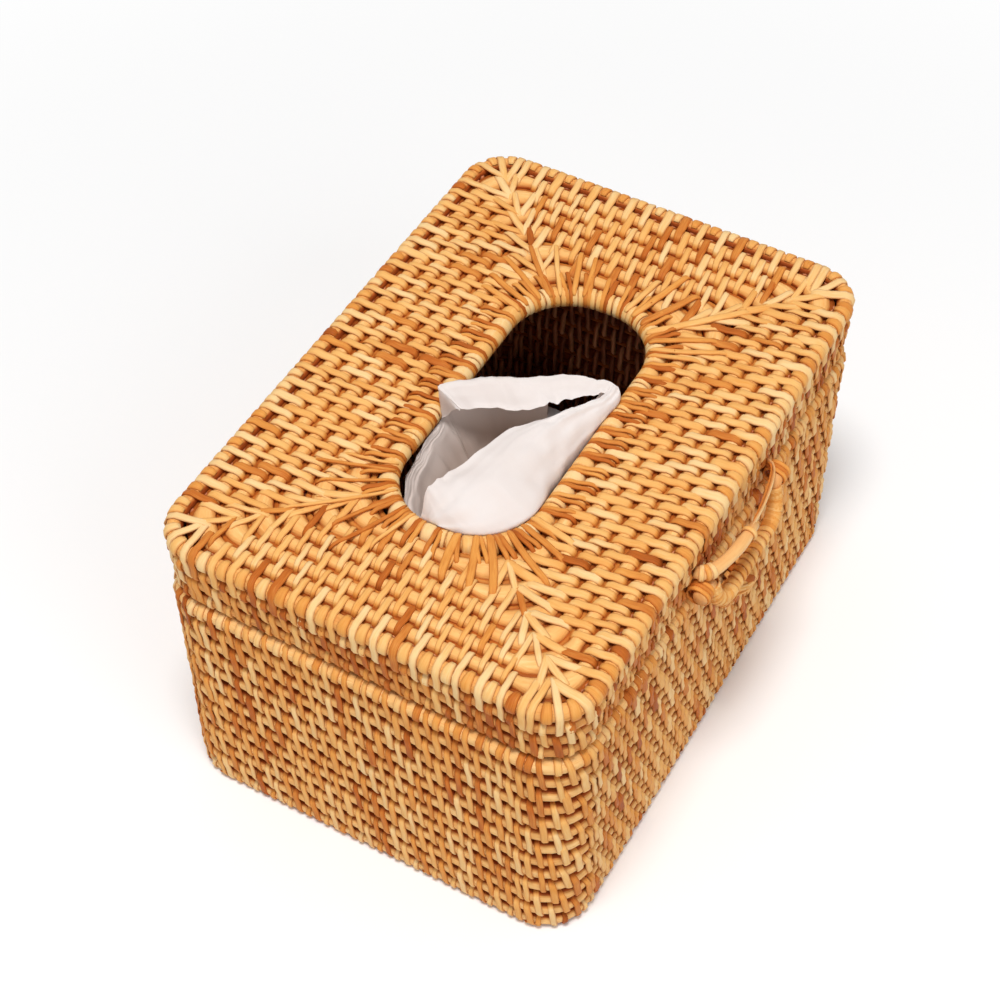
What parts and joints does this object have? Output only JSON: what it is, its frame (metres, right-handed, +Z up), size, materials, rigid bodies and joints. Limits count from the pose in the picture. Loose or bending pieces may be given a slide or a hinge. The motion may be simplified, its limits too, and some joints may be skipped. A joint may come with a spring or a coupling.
{
  "type": "woven tissue box",
  "caption": "Oblong coiled rattan tissue box with a hinged dished lid, a bound oblong opening that a sheet stands through, a rod pull and a swinging loop hasp over a knotted button.",
  "frame": {"origin": "middle of the underside, on the level surface the box stands on", "axes": "+X along the length, -Y towards the clasp, +Y towards the hinge, +Z up"},
  "size_m": [0.2, 0.1495, 0.123],
  "materials": {
    "rattan_core": "natural round core rod",
    "rattan_peel": "natural peel strip",
    "rattan_binding": "natural peel wraps",
    "rattan_smooth": "smooth skinned rod",
    "tissue_paper": "soft white paper"
  },
  "bodies": {
    "box": {"base_core_rod": "rattan_core", "base_hoop_01": "rattan_core", "base_hoop_02": "rattan_core", "base_hoop_03": "rattan_core", "base_hoop_04": "rattan_core", "base_hoop_05": "rattan_core", "base_hoop_06": "rattan_core", "base_hoop_07": "rattan_core", "base_hoop_08": "rattan_core", "base_hoop_09": "rattan_core", "base_hoop_10": "rattan_core", "base_lacing": "rattan_peel", "clasp_knot": "rattan_binding", "hinge_lashing_left": "rattan_binding", "hinge_lashing_right": "rattan_binding", "knot_cord": "rattan_binding", "tissue_sheet": "tissue_paper", "tissue_stack": "tissue_paper", "wall_hoop_01": "rattan_core", "wall_hoop_02": "rattan_core", "wall_hoop_03": "rattan_core", "wall_hoop_04": "rattan_core", "wall_hoop_05": "rattan_core", "wall_hoop_06": "rattan_core", "wall_hoop_07": "rattan_core", "wall_hoop_08": "rattan_core", "wall_hoop_09": "rattan_core", "wall_hoop_10": "rattan_core", "wall_hoop_11": "rattan_core", "wall_hoop_12": "rattan_core", "wall_hoop_13": "rattan_core", "wall_lacing": "rattan_peel"},
    "lid": {"hasp_eyes": "rattan_binding", "lid_edge_hoop": "rattan_core", "lid_hoop_01": "rattan_core", "lid_hoop_02": "rattan_core", "lid_hoop_03": "rattan_core", "lid_hoop_04": "rattan_core", "lid_hoop_05": "rattan_core", "lid_hoop_06": "rattan_core", "lid_lacing": "rattan_peel", "lid_pull": "rattan_smooth", "opening_binding": "rattan_binding", "opening_hoop": "rattan_core", "skirt_hoop_01": "rattan_core", "skirt_hoop_02": "rattan_core", "skirt_hoop_03": "rattan_core", "skirt_lacing": "rattan_peel"},
    "hasp": {"hasp_core": "rattan_core", "hasp_wrap": "rattan_binding"}
  },
  "joints": [
    {"name": "lid_hinge", "type": "hinge", "parent": "box", "child": "lid", "pos_m": [0, 0.0705, 0.0887], "axis": [-1, 0, 0], "range_deg": [0, 105], "deforming": ["hinge_lashing_left", "hinge_lashing_right"]},
    {"name": "hasp_swing", "type": "hinge", "parent": "lid", "child": "hasp", "pos_m": [0, -0.0729, 0.093], "axis": [-1, 0, 0], "range_deg": [0, 95]}
  ]
}
